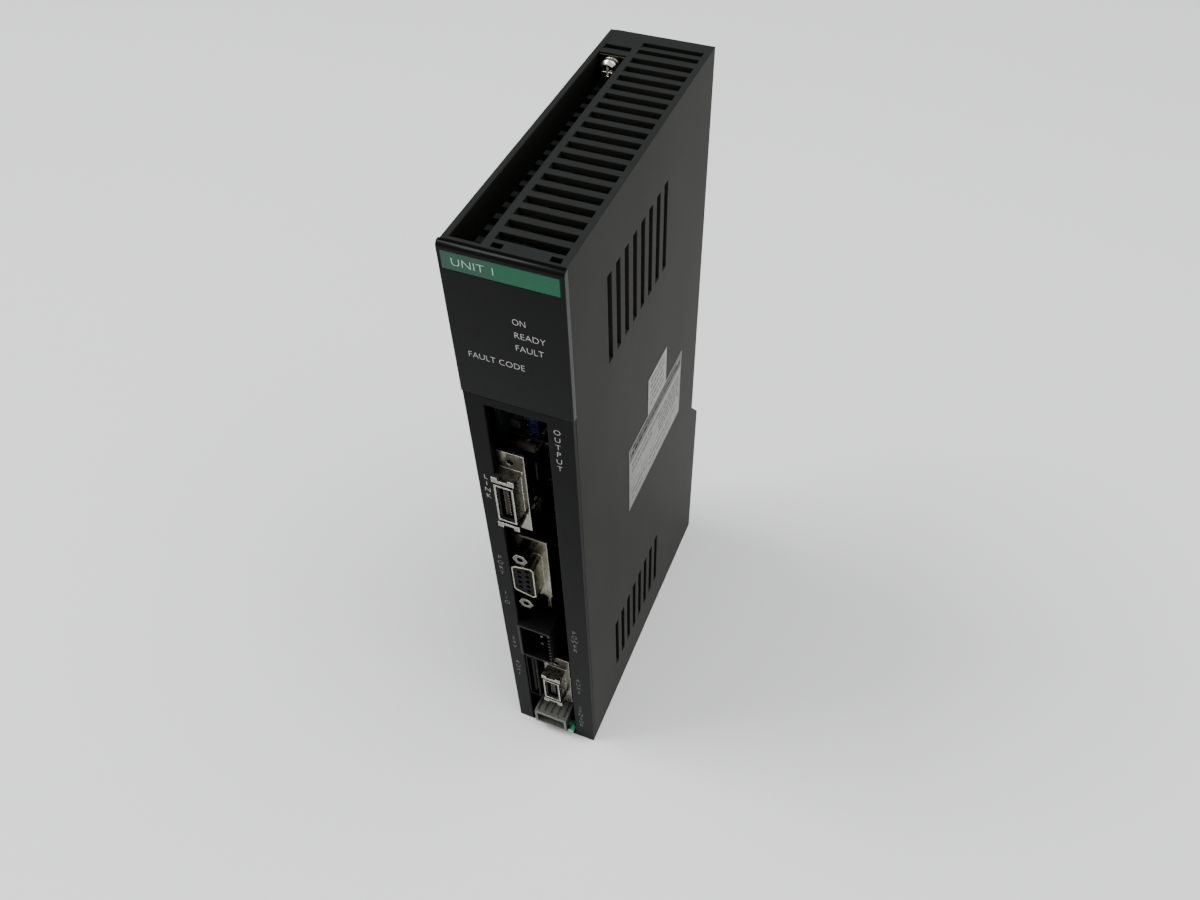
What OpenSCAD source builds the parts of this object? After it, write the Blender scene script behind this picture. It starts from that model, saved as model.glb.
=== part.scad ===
// Narrow plug-in rack module with a column of front ports, a smoked indicator
// cover, a louvred top with a screwdriver channel and a captive fixing screw.
// Every sub-part is drawn from the front left bottom corner of the housing
// (X right, Y to the back, Z up), and placed() moves it to the model's origin.

/* [Housing] */
// Width of the housing
body_w = 31.5; // [31:0.5:36]
// Depth of the housing above the rear step
body_d = 105.6; // [105:0.2:112]
// Height of the housing
body_h = 232; // [232:1:240]
// Thickness of the housing walls
wall = 1.8; // [1.6:0.1:1.8]
// Thickness of the front bezel and of the indicator cover
front_t = 2; // [2:0.1:2.2]
// How far the rear step stands out behind the housing
step_d = 7.4; // [6:0.2:8]
// Height of the upright face of the rear step
step_h = 76; // [74:1:84]
// Height of the slope above the rear step
step_rise = 9; // [6:1:12]

/* [Front] */
// Left edge of the port opening
port_x0 = 5.8; // [5:0.1:5.8]
// Right edge of the port opening
port_x1 = 24; // [24:0.1:26]
// Top edge of the port opening
port_top = 181; // [176:1:182]
// Height of the lip under the port opening
port_lip = 1; // [0.8:0.1:2]
// Lower edge of the indicator cover
cover_z = 184; // [183:1:186]
// How far the cover stands out on each side of the housing
cover_proud = 0.3; // [0.2:0.1:0.5]
// Radius of the cover's top front edge
cover_r = 1.3; // [0.8:0.1:1.6]

/* [Top grille] */
// Number of cross slots in the top
slot_count = 18; // [14:1:18]
// Distance from one cross slot to the next
slot_pitch = 4.92; // [4.7:0.01:4.92]
// Width of a cross slot
slot_w = 2.8; // [2.2:0.1:3]
// Depth of the screwdriver channel
channel_h = 9; // [8.5:0.5:10]
// Left side of the rail beside the channel
rail_x = 10; // [9.8:0.1:10.2]
// Width of the rail
rail_w = 2; // [1.8:0.1:2.2]

/* [Side vents] */
// Number of upright slots in each side vent
vent_count = 8; // [4:1:9]
// Distance from one upright slot to the next
vent_pitch = 5.9; // [5:0.1:6.5]
// Width of an upright slot
vent_w = 2.9; // [2:0.1:3.5]
// Height of an upright slot
vent_h = 29.7; // [20:0.1:32]

/* [Fixing screw] */
// Thread diameter of the fixing screw
screw_d = 3; // [3:0.5:3]
// Head diameter of the fixing screw
head_d = 5.6; // [5.5:0.1:6]
// Length of thread that stands out behind the housing
screw_tip = 2.8; // [2.4:0.1:3]

/* [Hidden] */

$fn = 48;
eps = 0.01;
link_front = 2.6;
mid_y = (body_d + step_d - link_front) / 2;
inner_x = body_w - wall;
rear_y = body_d + step_d;
floor_z = body_h - channel_h;
channel_floor = 1.6;
channel_y0 = 3;
channel_y1 = 92.4;
slot_y0 = 5.8;
slot_x0 = rail_x + rail_w;
window_y = [2.8, 4.6];
window_w = 2.8;
bottom_rim = 3;
slit_w = 1.2;
slit_lip = 1.8;
slit_sink = 0.5;
slit_pitch = 4;
vent_y0 = 24.4;
vent_z = [19.2, 182.5];

// Boards
board_t = 1.6;
board_x = wall + 2;
board_face = board_x + board_t;
board_y = 8;
board_back = body_d - 3.6;
board_z = [4, 218];
side_board_x = 23.2;
side_board_top = 72;
board_screw_yz = [[30, 90], [30, 205], [96, 90], [96, 205]];
board_screw_r = 0.88;
spacer_yz = [[66, 12], [66, 64]];
spacer_r = 2.75;
spacer_screw_r = 1.22;
board_hole_r = 1.45;
boss_r = 3;
tab_l = 4;
tab_w = 6;
tab_t = 1.2;
display_x = [7.2, 28.6];
header_pitch = 2.54;

// Screw axis and its stack, from head to tip. The collar is wider than the hole in
// the channel's end wall, so the screw can be drawn back but not lost.
screw_x = 5.9;
screw_z = body_h - 3.1;
gap = 0.3;
end_wall = 1.6;
bracket_t = 0.5;
washer_t = 0.8;
head_t = 2.3;
screw_travel = 8;
bracket_y = channel_y1 - bracket_t;
washer_y = bracket_y - gap - washer_t;
head_y = washer_y - gap - head_t;
shank_r = screw_d / 2 - 0.4;
shank_hole_r = shank_r + 0.35;
collar_r = screw_d / 2 + 0.2;
collar_hole_r = collar_r + 0.35;
end_wall_back = channel_y1 + end_wall;
collar_y = end_wall_back + screw_travel + gap;

// Bus connector in the rear step
bus_x = [6.8, 17.8];
bus_z = [10, 66];
bus_gap = 0.2;

// Moves a sub-part from the housing's corner to the model's origin
module placed() {
    translate([-body_w / 2, -mid_y, 0])
        children();
}

// A block between two limits on each axis
module span(x, y, z) {
    translate([x[0], y[0], z[0]])
        cube([x[1] - x[0], y[1] - y[0], z[1] - z[0]]);
}

// An outline in Y and Z, extruded along X from x0 to x1
module along_x(x0, x1) {
    translate([x0, 0, 0])
        rotate([90, 0, 90])
            linear_extrude(x1 - x0)
                children();
}

// A round bar along Y from y0 to y1
module rod_y(x, z, y0, y1, r) {
    translate([x, y0, z])
        rotate([-90, 0, 0])
            cylinder(h = y1 - y0, r = r);
}

// A hexagonal bar along Y from y0 to y1, given by its width across the flats
module hex_y(x, z, y0, y1, flats) {
    r = flats / 2 / cos(30);
    translate([x, y1, z])
        rotate([90, 0, 0])
            linear_extrude(y1 - y0)
                polygon([for (i = [0 : 5]) [r * cos(60 * i), r * sin(60 * i)]]);
}

// A round bar along X from x0 to x1
module rod_x(y, z, x0, x1, r) {
    translate([x0, y, z])
        rotate([0, 90, 0])
            cylinder(h = x1 - x0, r = r);
}

// Side outline of the housing, shrunk by t on the rear, top and bottom
module side_outline(t) {
    polygon([[front_t, t], [rear_y - t, t], [rear_y - t, step_h],
        [body_d - t, step_h + step_rise], [body_d - t, body_h - t],
        [front_t, body_h - t]]);
}

// ---- Casing ----

module left_cover() {
    color("dimgray") placed() difference() {
        union() {
            along_x(0, wall) side_outline(0);
            for (p = board_screw_yz)
                rod_x(p[0], p[1], wall - eps, board_x, boss_r);
            // Tabs that reach under the housing's bottom and rear walls
            for (y = [20, 55, 88])
                span([wall - eps, wall + tab_l], [y, y + tab_w], [wall + 0.1, wall + 0.1 + tab_t]);
            for (z = [100, 150, 200])
                span([wall - eps, wall + tab_l], [body_d - wall - 0.1 - tab_t, body_d - wall - 0.1],
                    [z, z + tab_w]);
        }
        for (p = board_screw_yz)
            rod_x(p[0], p[1], wall / 2, board_x + 1, board_screw_r + 0.02);
    }
}

module top_slots() {
    for (i = [0 : slot_count - 1]) {
        y = slot_y0 + i * slot_pitch;
        span([slot_x0, inner_x], [y, y + slot_w], [body_h - wall - 1, body_h + 1]);
    }
    // Two small windows at the front corners of the grille
    for (x = [slot_x0 + 0.3, inner_x - window_w])
        span([x, x + window_w], window_y, [body_h - wall - 1, body_h + 1]);
}

module channel_slots() {
    for (i = [0 : slot_count - 2]) {
        y = slot_y0 + i * slot_pitch;
        span([wall - 1, rail_x], [y, y + slot_w], [floor_z - channel_floor - 1, floor_z + 1]);
    }
}

// Narrow slit through the top with a sloped lip in front of it
module rear_slit(x, y) {
    lip_y = y + slit_lip;
    along_x(x[0], x[1])
        polygon([[y, body_h], [lip_y, body_h - slit_sink], [lip_y + eps, body_h - slit_sink],
            [lip_y + eps, body_h + 1], [y, body_h + 1]]);
    span(x, [lip_y, lip_y + slit_w], [body_h - wall - 1, body_h + 1]);
}

module side_vent(z) {
    for (i = [0 : vent_count - 1]) {
        y = vent_y0 + i * vent_pitch;
        span([inner_x - 1, body_w + 1], [y, y + vent_w], [z, z + vent_h]);
    }
}

module bottom_slots() {
    for (i = [1 : slot_count - 3]) {
        y = slot_y0 + i * slot_pitch;
        span([slot_x0, inner_x - bottom_rim], [y, y + slot_w], [-1, wall + 1]);
    }
}

module channel_walls() {
    top = body_h - wall + eps;
    low = floor_z - channel_floor;
    span([rail_x, slot_x0], [front_t, end_wall_back], [low, top]);
    span([wall, slot_x0], [front_t, channel_y0], [low, top]);
    span([wall, slot_x0], [channel_y1, end_wall_back], [low, top]);
    span([wall, slot_x0], [front_t, end_wall_back], [low, floor_z]);
}

module right_housing() {
    color("dimgray") placed() difference() {
        union() {
            difference() {
                along_x(wall, body_w) side_outline(0);
                along_x(wall - 1, inner_x) side_outline(wall);
                span([wall - 1, inner_x], [front_t - 1, front_t + 1], [wall, body_h - wall]);
            }
            channel_walls();
        }
        span([wall - 1, rail_x], [channel_y0, channel_y1], [floor_z, body_h + 1]);
        top_slots();
        channel_slots();
        rear_slit([wall + 0.2, rail_x], end_wall_back);
        rear_slit([slot_x0, inner_x], end_wall_back);
        rear_slit([slot_x0, inner_x], end_wall_back + slit_pitch);
        for (z = vent_z)
            side_vent(z);
        bottom_slots();
        rod_y(screw_x, screw_z, channel_y1 - 1, end_wall_back + 1, shank_hole_r);
        // Way for the collar, under the top wall and out through the rear wall
        rod_y(screw_x, screw_z, end_wall_back, body_d + 1, collar_hole_r);
        span([bus_x[0] - bus_gap, bus_x[1] + bus_gap], [rear_y - wall - 1, rear_y + 1],
            [bus_z[0] - bus_gap, bus_z[1] + bus_gap]);
    }
}

snap_t = 1.1;
strip_x = [0.6, body_w - 0.9];
strip_z = [224.8, 230];
strip_sink = 0.4;

module front_bezel() {
    color([0.17, 0.18, 0.18]) placed() {
        difference() {
            span([0, body_w], [0, front_t], [0, cover_z]);
            span([port_x0, port_x1], [-1, front_t + 1], [port_lip, port_top]);
        }
        // Snap tabs that reach into the housing
        for (x = [wall + 0.1, inner_x - 0.1 - snap_t], z = [12, 84, 156])
            span([x, x + snap_t], [front_t, front_t + 4.5], [z, z + 8]);
    }
}

function arc_points(cy, cz, r, a0, a1, n) =
    [for (i = [0 : n]) let (a = a0 + (a1 - a0) * i / n) [cy + r * cos(a), cz + r * sin(a)]];

module indicator_cover() {
    cover_rim = 0.9;
    window_t = 1.2;
    snap_z = [cover_z + 6, cover_z + 12];
    color([0.13, 0.14, 0.14]) placed() {
        difference() {
            along_x(-cover_proud, body_w + cover_proud)
                polygon(concat([[0, cover_z], [front_t, cover_z], [front_t, body_h]],
                    arc_points(cover_r, body_h - cover_r, cover_r, 90, 180, 6)));
            span([cover_rim, body_w - cover_rim], [window_t, front_t + 1], [cover_z + 1, body_h - 1.1]);
            span(strip_x, [-1, strip_sink], strip_z);
        }
        for (x = [wall + 0.1, inner_x - 0.1 - snap_t])
            span([x, x + snap_t], [front_t - eps, front_t + 3], snap_z);
        // Feet that carry the tabs on the cover's rim
        for (x = [[cover_rim - eps, wall + 0.1 + snap_t],
            [inner_x - 0.1 - snap_t, body_w - cover_rim + eps]])
            span(x, [window_t - eps, front_t], snap_z);
    }
}

module name_strip() {
    color([0.16, 0.4, 0.31]) placed()
        span([strip_x[0] + 0.05, strip_x[1] - 0.05], [0.02, strip_sink],
            [strip_z[0] + 0.05, strip_z[1] - 0.05]);
}

label_t = 0.12;

module rating_label() {
    color("silver") placed()
        span([body_w, body_w + label_t], [38.6, 88.2], [100.6, 131]);
}

module serial_label() {
    color("gainsboro") placed()
        span([body_w, body_w + label_t], [55.4, 72.2], [131.1, 147]);
}

// ---- Boards ----

// The main board is set back above this height, behind the display board
notch_z = 186;

module main_board() {
    color("darkgreen") placed() difference() {
        union() {
            span([board_x, board_face], [board_y, board_back], [board_z[0], notch_z]);
            span([board_x, board_face], [board_y + 3, board_back], [notch_z - eps, board_z[1]]);
            // Lower part that reaches into the rear step
            span([board_x, board_face], [board_back - eps, board_back + 6], [board_z[0], step_h - 2]);
        }
        for (p = board_screw_yz)
            rod_x(p[0], p[1], board_x - 1, board_face + 1, board_hole_r);
    }
}

module interface_board() {
    color("darkgreen") placed() difference() {
        span([side_board_x, side_board_x + board_t], [board_y, 74], [board_z[0], side_board_top]);
        for (p = spacer_yz)
            rod_x(p[0], p[1], side_board_x - 1, side_board_x + board_t + 1, board_hole_r);
    }
}

module display_board() {
    color("darkgreen") placed()
        span(display_x, [board_y, board_y + board_t], [187, 219]);
}

// Right-angle header that joins the display board to the main board
module display_header() {
    color("black") placed() {
        span([board_face, display_x[0]], [board_y + 3, board_y + 5.5], [194, 214]);
        for (i = [0 : 6]) {
            z = 195.4 + i * header_pitch;
            span([display_x[0], display_x[0] + 1.4], [board_y + board_t, board_y + 4.4], [z, z + 0.6]);
        }
    }
}

led_x = 14.6;
led_y = 4.6;
led_r = 1.45;
led_z = [213.6, 209.4, 205.3];

module status_leds() {
    color("honeydew") placed()
        for (z = led_z) {
            rod_y(led_x, z, led_y, board_y, led_r);
            translate([led_x, led_y, z]) sphere(r = led_r);
        }
}

module code_display() {
    color("lightslategray") placed()
        span([8, 22.4], [3.6, board_y], [188.2, 198.2]);
}

module stacking_header() {
    color("black") placed()
        span([board_face, side_board_x], [24, 29], [40, 66]);
}

module board_spacers() {
    color("goldenrod") placed()
        for (p = spacer_yz)
            difference() {
                rod_x(p[0], p[1], board_face, side_board_x, spacer_r);
                rod_x(p[0], p[1], side_board_x - 8, side_board_x + 1, spacer_screw_r + 0.03);
            }
}

// Pan head screw along X, with its head at x and its thread towards -X
module pan_screw_x(y, z, x, length, r) {
    difference() {
        union() {
            rod_x(y, z, x - length, x + 0.1, r);
            rod_x(y, z, x, x + 1.5, r * 1.9);
        }
        for (a = [0, 90])
            translate([x + 1.2, y, z]) rotate([a, 0, 0])
                cube([1.4, r * 2.4, 0.5], center = true);
    }
}

module board_screws() {
    color("silver") placed() {
        for (p = board_screw_yz)
            pan_screw_x(p[0], p[1], board_face, board_t + 2, board_screw_r);
        for (p = spacer_yz)
            pan_screw_x(p[0], p[1], side_board_x + board_t, board_t + 5, spacer_screw_r);
    }
}

// ---- Ribbon contact receptacles ----

link_x = 9.5;
link_z = 142.7;
link_half = [4.6, 17.05];
link_shell_half = [3, 8.1];
link_plate_y = 2.9;
link_ways = 10;
aux_x = 16.7;
aux_z = 34.1;
aux_half = [5.2, 15.3];
aux_shell_half = [3.1, 6.4];
aux_front = 2;
aux_plate_y = 3.4;
aux_ways = 7;
contact_pitch = 1.27;
plate_t = 1;
shell_t = 0.5;
ear_gap = 1.2;
lock_r = 1.1;
lock_in = 4.05;
cavity_y = 1.6;
tongue_half = 0.55;
tongue_in = 1.4;
contact_in = 1.3;

// Latch ear: a shelf with two upturned prongs at its front, on one end of the shell
module latch_ear(side, hx, shell_hz, front, plate_y) {
    lo = shell_hz + ear_gap;
    z = side > 0 ? [lo, lo + 1] : [-lo - 1, -lo];
    tip = side > 0 ? [lo, lo + 2.1] : [-lo - 2.1, -lo];
    span([-hx, hx], [-front, plate_y + eps], z);
    for (x = [[-hx, -hx + 1.8], [hx - 1.8, hx]])
        span(x, [-front, -front + 1.6], tip);
}

// Mounting plate, shell and latch ears of a receptacle
module ribbon_shell(half, shell_half, front, plate_y) {
    difference() {
        union() {
            span([-half[0], half[0]], [plate_y, plate_y + plate_t], [-half[1], half[1]]);
            span([-shell_half[0], shell_half[0]], [-front, plate_y + eps],
                [-shell_half[1], shell_half[1]]);
            for (side = [-1, 1])
                latch_ear(side, shell_half[0] + 0.5, shell_half[1], front, plate_y);
        }
        span([-shell_half[0] + shell_t, shell_half[0] - shell_t], [-front - 1, plate_y + plate_t + 1],
            [-shell_half[1] + shell_t, shell_half[1] - shell_t]);
        for (side = [-1, 1])
            rod_y(0, side * (half[1] - lock_in), plate_y - 1, plate_y + plate_t + 1, lock_r);
    }
}

// Insulator: fills the shell, holds the contact tongue and stands on its board at foot_x
module ribbon_insulator(shell_half, front, plate_y, foot_x) {
    hx = shell_half[0] - shell_t - 0.05;
    hz = shell_half[1] - shell_t - 0.05;
    back_y = plate_y + plate_t + 0.05;
    foot = foot_x < 0 ? [foot_x, hx] : [-hx, foot_x];
    difference() {
        span([-hx, hx], [-front + 0.6, back_y + eps], [-hz, hz]);
        span([-hx + 0.6, hx - 0.6], [-front, cavity_y], [-hz + 0.8, hz - 0.8]);
    }
    span([-tongue_half, tongue_half], [-front + tongue_in, cavity_y + eps], [-hz + 1.4, hz - 1.4]);
    span(foot, [back_y, back_y + 9], [-hz - 2.6, hz + 2.6]);
}

module ribbon_contacts(front, ways) {
    for (i = [0 : ways - 1], side = [-1, 1]) {
        z = (i - (ways - 1) / 2) * contact_pitch;
        x = side > 0 ? [tongue_half, tongue_half + 0.3] : [-tongue_half - 0.3, -tongue_half];
        span(x, [-front + contact_in, cavity_y], [z - 0.25, z + 0.25]);
    }
}

module link_port_shell() {
    color("silver") placed() translate([link_x, 0, link_z])
        ribbon_shell(link_half, link_shell_half, link_front, link_plate_y);
}

module link_port_insulator() {
    color([0.1, 0.1, 0.1]) placed() translate([link_x, 0, link_z])
        ribbon_insulator(link_shell_half, link_front, link_plate_y, board_face - link_x);
}

module link_port_contacts() {
    color("gold") placed() translate([link_x, 0, link_z])
        ribbon_contacts(link_front, link_ways);
}

module aux_port_shell() {
    color("silver") placed() translate([aux_x, 0, aux_z])
        ribbon_shell(aux_half, aux_shell_half, aux_front, aux_plate_y);
}

module aux_port_insulator() {
    color([0.1, 0.1, 0.1]) placed() translate([aux_x, 0, aux_z])
        ribbon_insulator(aux_shell_half, aux_front, aux_plate_y, side_board_x - aux_x);
}

module aux_port_contacts() {
    color("gold") placed() translate([aux_x, 0, aux_z])
        ribbon_contacts(aux_front, aux_ways);
}

// ---- Nine-way serial port ----

serial_x = 9.9;
serial_z = 99.3;
serial_flange_y = 6.9;
serial_flange_t = 0.8;
serial_spacing = 25;
serial_shell_y = 0.5;
serial_half = 15.4;
serial_back_y = serial_flange_y + serial_flange_t + 0.05;
lock_x = [14.3, 15.5];
lock_z = 77;
dsub_w = 7.9;
dsub_h = 16.3;
dsub_slope = 1.35;
pin_pitch = 2.77;
row_gap = 2.84;
contact_r = 0.75;
jack_flats = 4.5;
jack_stem_r = 1.6;
jack_hole_r = 1.15;
jack_hole_l = 5.5;

// D outline in X and Z with its long side on the right, shrunk by t, extruded along Y
module dsub_block(y0, y1, t) {
    hx = dsub_w / 2 - t;
    hz = dsub_h / 2 - t;
    c = 0.9;
    translate([serial_x, y1, serial_z])
        rotate([90, 0, 0])
            linear_extrude(y1 - y0)
                polygon([[hx, hz - c], [hx - c, hz], [-hx + c, hz - dsub_slope], [-hx, hz - dsub_slope - c],
                    [-hx, -hz + dsub_slope + c], [-hx + c, -hz + dsub_slope], [hx - c, -hz], [hx, -hz + c]]);
}

module at_jackposts() {
    for (side = [-1, 1])
        translate([serial_x, 0, serial_z + side * serial_spacing / 2])
            children();
}

module serial_port_shell() {
    color([0.78, 0.75, 0.6]) placed() difference() {
        union() {
            span([serial_x - 6.25, serial_x + 6.25], [serial_flange_y, serial_flange_y + serial_flange_t],
                [serial_z - serial_half, serial_z + serial_half]);
            dsub_block(serial_shell_y, serial_flange_y + eps, 0);
            // Board lock below the flange
            span(lock_x, [serial_flange_y, serial_flange_y + serial_flange_t], [lock_z, serial_z - 15]);
        }
        dsub_block(serial_shell_y - 1, serial_flange_y + serial_flange_t + 1, 0.4);
        at_jackposts()
            rod_y(0, 0, serial_flange_y - 1, serial_flange_y + serial_flange_t + 1, jack_stem_r);
    }
}

// Calls children once at each contact: five in the right row, four in the left row
module at_serial_contacts() {
    for (i = [0 : 4])
        translate([serial_x + row_gap / 2, 0, serial_z + (i - 2) * pin_pitch]) children();
    for (i = [0 : 3])
        translate([serial_x - row_gap / 2, 0, serial_z + (i - 1.5) * pin_pitch]) children();
}

module serial_port_insulator() {
    color([0.25, 0.26, 0.25]) placed() difference() {
        union() {
            dsub_block(serial_shell_y + 0.3, serial_back_y + eps, 0.45);
            difference() {
                span([board_face, serial_x + 5.6], [serial_back_y, 17], [serial_z - 15, serial_z + 15]);
                at_jackposts() rod_y(0, 0, serial_flange_y, 18, jack_stem_r + 0.6);
            }
        }
        at_serial_contacts() rod_y(0, 0, 0, serial_flange_y + 2, contact_r);
    }
}

module serial_port_contacts() {
    color("gold") placed() at_serial_contacts() difference() {
        rod_y(0, 0, serial_shell_y + 1.1, serial_flange_y + 2, contact_r);
        rod_y(0, 0, 0, serial_flange_y, contact_r - 0.25);
    }
}

module serial_port_jackposts() {
    color("silver") placed() at_jackposts() difference() {
        union() {
            hex_y(0, 0, 0, serial_flange_y, jack_flats);
            rod_y(0, 0, serial_flange_y - eps, 12, jack_stem_r);
        }
        rod_y(0, 0, -1, jack_hole_l, jack_hole_r);
    }
}

// ---- Plastic headers ----

power_x = [5.9, 18.1];
power_y = [-1.5, 13];
power_z = [53.6, 73.4];
power_wall = 0.9;
power_ways = 4;
power_pitch = 5.08;
power_floor_y = 9.5;
power_tip_y = 3.4;

module power_port_housing() {
    color([0.09, 0.1, 0.1]) placed() difference() {
        span(power_x, power_y, power_z);
        span([power_x[0] + power_wall, power_x[1] - power_wall], [power_y[0] - 1, power_floor_y],
            [power_z[0] + power_wall, power_z[1] - power_wall]);
        // Coding notches in the rim of the right wall
        for (i = [0 : 7]) {
            z = power_z[0] + 1.9 + i * 2.1;
            span([power_x[1] - power_wall - 1, power_x[1] + 1], [power_y[0] - 1, power_y[0] + 1.1],
                [z, z + 1.1]);
        }
        // Seats of the pins in the floor
        for (i = [0 : power_ways - 1])
            power_pin(i);
    }
}

// One square pin with its tail bent down to the main board
module power_pin(i) {
    x = (power_x[0] + power_x[1]) / 2;
    z = (power_z[0] + power_z[1]) / 2 + (i - (power_ways - 1) / 2) * power_pitch;
    span([x - 0.5, x + 0.5], [power_tip_y, power_y[1] + 2], [z - 0.5, z + 0.5]);
    span([board_face, x], [power_y[1] + 1, power_y[1] + 2], [z - 0.5, z + 0.5]);
}

module power_port_pins() {
    color("silver") placed()
        for (i = [0 : power_ways - 1])
            power_pin(i);
}

slim_x = [5.9, 10.5];
slim_y = [0.5, 14];
slim_z = [21, 49];
slim_wall = 0.7;

module slim_port_housing() {
    mid = (slim_x[0] + slim_x[1]) / 2;
    color([0.12, 0.14, 0.13]) placed() {
        difference() {
            span(slim_x, slim_y, slim_z);
            span([slim_x[0] + slim_wall, slim_x[1] - slim_wall], [slim_y[0] - 1, 8],
                [slim_z[0] + slim_wall, slim_z[1] - slim_wall]);
        }
        span([mid - 0.5, mid + 0.5], [slim_y[0] + 0.8, 8 + eps], [slim_z[0] + 2, slim_z[1] - 2]);
    }
}

module slim_port_contacts() {
    mid = (slim_x[0] + slim_x[1]) / 2;
    color("gold") placed()
        for (i = [0 : 14], x = [[mid - 0.75, mid - 0.5], [mid + 0.5, mid + 0.75]]) {
            z = (slim_z[0] + slim_z[1]) / 2 + (i - 7) * 1.5;
            span(x, [slim_y[0] + 1.4, 8], [z - 0.3, z + 0.3]);
        }
}

signal_x = [8.3, 21.3];
signal_y = [-2.5, 9];
signal_z = [5, 13.3];
signal_wall = 0.9;
signal_ways = 5;
signal_floor_y = 5;
rib_count = 5;

// One pin with its tail bent sideways to the interface board
module signal_pin(i) {
    x = (signal_x[0] + signal_x[1]) / 2 + (i - (signal_ways - 1) / 2) * 2.5;
    z = signal_z[0] + 2.4 + (i % 2) * 2.2;
    tail_y = signal_y[1] + 1 + (signal_ways - 1 - i) * 1.2;
    span([x - 0.32, x + 0.32], [2, tail_y], [z - 0.32, z + 0.32]);
    span([x - 0.32, side_board_x], [tail_y - 0.64, tail_y], [z - 0.32, z + 0.32]);
}

module signal_port_housing() {
    step = (signal_x[1] - signal_x[0]) / rib_count;
    color([0.8, 0.8, 0.76]) placed() difference() {
        span(signal_x, signal_y, signal_z);
        span([signal_x[0] + signal_wall, signal_x[1] - signal_wall], [signal_y[0] - 1, signal_floor_y],
            [signal_z[0] + signal_wall, signal_z[1] - 1.5]);
        // Grooves between the ribs on top
        for (i = [0 : rib_count - 1]) {
            x = signal_x[0] + (i + 0.5) * step;
            span([x - 0.65, x + 0.65], [signal_y[0] + 1.2, signal_y[1] + 1],
                [signal_z[1] - 0.7, signal_z[1] + 1]);
        }
        for (i = [0 : signal_ways - 1])
            signal_pin(i);
    }
}

module signal_port_pins() {
    color("silver") placed()
        for (i = [0 : signal_ways - 1])
            signal_pin(i);
}

plug_x = 22.7;
plug_z = 5.4;
plug_r = 1.2;
plug_front = -1.8;
plug_foot = [0.6, 2.2];

// A round pin on a flat foot that lies against the housing's side
module coding_plug() {
    color("mediumseagreen") placed() {
        span([signal_x[1], plug_x + plug_r], plug_foot, [plug_z - plug_r, plug_z + plug_r]);
        rod_y(plug_x, plug_z, plug_front, plug_foot[0] + eps, plug_r);
    }
}

// ---- Trimmers ----

trimmer_x = [12.4, 15.4];
trimmer_y = [10.7, 20.2];
trimmer_z = [161, 164.7];
trimmer_t = 3.4;
rotor_x = 13.7;
leg_half = 0.22;
rotor_r = 1;
rotor_bore_r = 1.05;
rotor_l = 3;
rotor_sink = 0.2;

module trimmer_bodies() {
    color("mediumblue") placed()
        for (z = trimmer_z) {
            difference() {
                span(trimmer_x, trimmer_y, [z, z + trimmer_t]);
                rod_y(rotor_x, z + trimmer_t / 2, trimmer_y[0] - 1,
                    trimmer_y[0] + rotor_sink + rotor_l + gap, rotor_bore_r);
            }
            for (y = [12.9, 15.45, 18])
                span([board_face, trimmer_x[0]], [y - leg_half, y + leg_half],
                    [z + trimmer_t / 2 - leg_half, z + trimmer_t / 2 + leg_half]);
        }
}

module trimmer_rotor(z) {
    y = trimmer_y[0] + rotor_sink;
    difference() {
        rod_y(rotor_x, z + trimmer_t / 2, y, y + rotor_l, rotor_r);
        span([rotor_x - 2, rotor_x + 2], [y - 1, y + 0.6],
            [z + trimmer_t / 2 - leg_half, z + trimmer_t / 2 + leg_half]);
    }
}

module upper_trimmer_rotor() {
    color("white") placed() trimmer_rotor(trimmer_z[1]);
}

module lower_trimmer_rotor() {
    color("white") placed() trimmer_rotor(trimmer_z[0]);
}

// ---- Components on the main board ----

resistor_x = [9.2, 14.8];
resistor_y = 9.5;
resistor_z = 156.9;
lead_r = 0.3;

module power_resistor() {
    color("tan") placed() {
        rod_x(resistor_y, resistor_z, resistor_x[0], resistor_x[1], 1.35);
        // Leads: one straight down to the board, one bent round behind the body
        rod_x(resistor_y, resistor_z, board_face, resistor_x[0] + eps, lead_r);
        rod_x(resistor_y, resistor_z, resistor_x[1] - eps, resistor_x[1] + 0.8, lead_r);
        span([resistor_x[1] + 0.2, resistor_x[1] + 0.8], [resistor_y, resistor_y + 3.4],
            [resistor_z - lead_r, resistor_z + lead_r]);
        span([board_face, resistor_x[1] + 0.8], [resistor_y + 2.8, resistor_y + 3.4],
            [resistor_z - lead_r, resistor_z + lead_r]);
    }
}

module processor_chip() {
    color([0.1, 0.1, 0.1]) placed() {
        span([board_face + 0.3, board_face + 2.7], [46, 66], [112, 132]);
        span([board_face, board_face + 0.3], [44.6, 67.4], [114, 130]);
        span([board_face, board_face + 0.3], [48, 64], [110.6, 133.4]);
    }
}

module memory_chips() {
    color([0.11, 0.11, 0.11]) placed()
        for (i = [0 : 2])
            span([board_face, board_face + 3.2], [40 + i * 14, 49 + i * 14], [142, 160]);
}

module driver_chips() {
    color([0.12, 0.12, 0.12]) placed()
        for (y = [24, 33], z = [104, 122, 166, 180])
            span([board_face, board_face + 2], [y, y + 6], [z, z + 10]);
}

module filter_capacitors() {
    color([0.13, 0.13, 0.2]) placed()
        for (i = [0 : 2])
            rod_x(44 + i * 12, 176, board_face, board_face + 12, 4);
}

module dc_converter() {
    color([0.15, 0.15, 0.15]) placed()
        span([board_face, board_face + 10.5], [40, 72], [190, 212]);
}

module crystal_can() {
    color("silver") placed()
        span([board_face, board_face + 3.5], [72, 83], [118, 122.6]);
}

// Finned heat sink on the main board
module heat_sink() {
    color("dimgray") placed() {
        span([board_face, board_face + 2], [78, 100], [140, 170]);
        for (i = [0 : 5])
            span([board_face + 2 - eps, board_face + 12], [78 + i * 4.1, 79.5 + i * 4.1], [140, 170]);
    }
}

// ---- Bus connector in the rear step ----

bus_ways = 20;

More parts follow.
